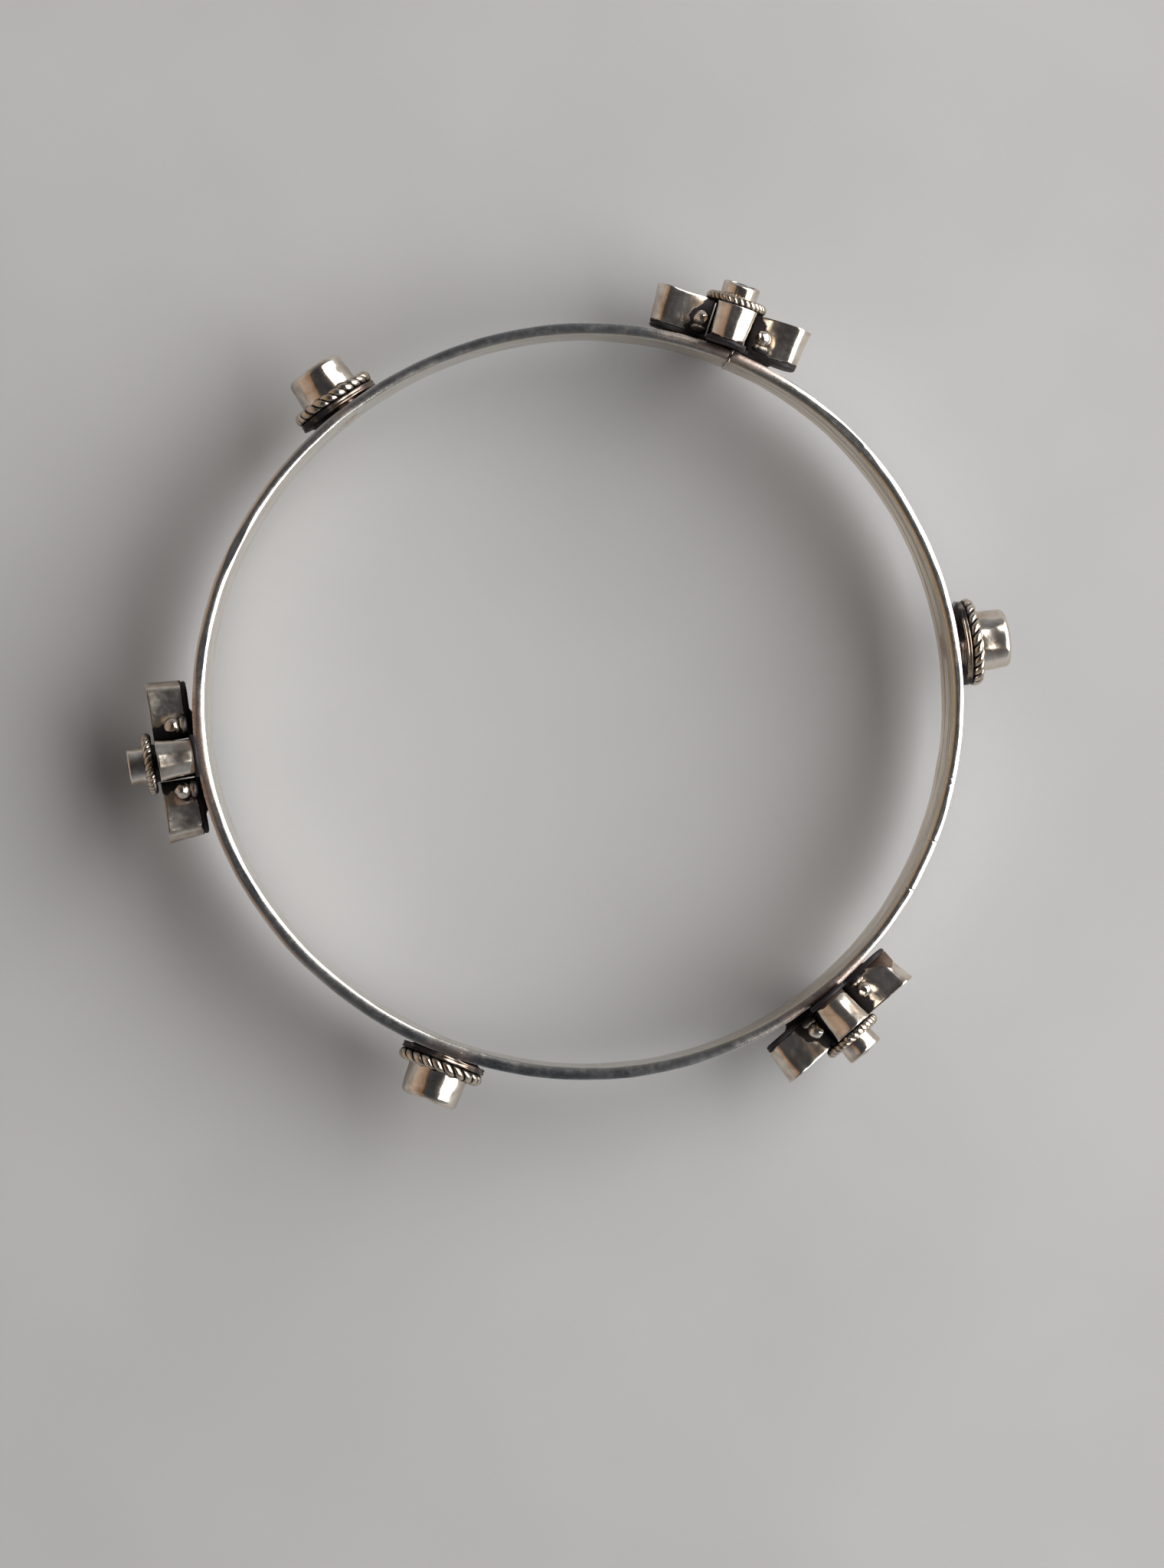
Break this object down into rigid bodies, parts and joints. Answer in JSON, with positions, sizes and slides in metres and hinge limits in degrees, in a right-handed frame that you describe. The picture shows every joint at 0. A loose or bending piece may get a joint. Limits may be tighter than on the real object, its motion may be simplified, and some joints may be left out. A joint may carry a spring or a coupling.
{
  "type": "bangle bracelet",
  "caption": "Rigid round silver bangle, a flat closed band with raised flower settings and round rope-edged bezel settings alternating round its outside.",
  "frame": {"origin": "centre of the wrist opening, halfway up the band", "axes": "+Z along the wrist opening's axis; +Y towards the first flower setting"},
  "size_m": [0.0704, 0.0757, 0.0144],
  "materials": {
    "band_silver": "polished silver, lightly scratched and tarnished",
    "plate_silver": "oxidised silver",
    "bezel_silver": "polished silver, dark with oxide near the base",
    "rope_silver": "polished silver wire, oxidised between strands",
    "granule_silver": "polished silver",
    "solder": "rough dark solder with fire stain",
    "stone": "polished dark blue-grey cabochon",
    "bed": "dark resin filling"
  },
  "bodies": {
    "root": {"band": "band_silver", "band_seam_solder": "solder", "flower_1_solder_foot": "solder", "flower_1_base_plate": "plate_silver", "flower_1_petal_left": "bezel_silver", "flower_1_petal_upper": "bezel_silver", "flower_1_petal_right": "bezel_silver", "flower_1_petal_lower": "bezel_silver", "flower_1_stone_beds": "bed", "flower_1_petal_stones": "stone", "flower_1_granule_seats": "granule_silver", "flower_1_granules": "granule_silver", "flower_1_rope_ring": "rope_silver", "flower_1_crown_bezel": "bezel_silver", "flower_1_crown_stone": "stone", "flower_2_solder_foot": "solder", "flower_2_base_plate": "plate_silver", "flower_2_petal_left": "bezel_silver", "flower_2_petal_upper": "bezel_silver", "flower_2_petal_right": "bezel_silver", "flower_2_petal_lower": "bezel_silver", "flower_2_stone_beds": "bed", "flower_2_petal_stones": "stone", "flower_2_granule_seats": "granule_silver", "flower_2_granules": "granule_silver", "flower_2_rope_ring": "rope_silver", "flower_2_crown_bezel": "bezel_silver", "flower_2_crown_stone": "stone", "flower_3_solder_foot": "solder", "flower_3_base_plate": "plate_silver", "flower_3_petal_left": "bezel_silver", "flower_3_petal_upper": "bezel_silver", "flower_3_petal_right": "bezel_silver", "flower_3_petal_lower": "bezel_silver", "flower_3_stone_beds": "bed", "flower_3_petal_stones": "stone", "flower_3_granule_seats": "granule_silver", "flower_3_granules": "granule_silver", "flower_3_rope_ring": "rope_silver", "flower_3_crown_bezel": "bezel_silver", "flower_3_crown_stone": "stone", "round_1_solder_foot": "solder", "round_1_base_disc": "plate_silver", "round_1_rope_ring": "rope_silver", "round_1_tube_bezel": "bezel_silver", "round_1_stone_bed": "bed", "round_1_stone": "stone", "round_2_solder_foot": "solder", "round_2_base_disc": "plate_silver", "round_2_rope_ring": "rope_silver", "round_2_tube_bezel": "bezel_silver", "round_2_stone_bed": "bed", "round_2_stone": "stone", "round_3_solder_foot": "solder", "round_3_base_disc": "plate_silver", "round_3_rope_ring": "rope_silver", "round_3_tube_bezel": "bezel_silver", "round_3_stone_bed": "bed", "round_3_stone": "stone"}
  },
  "joints": []
}
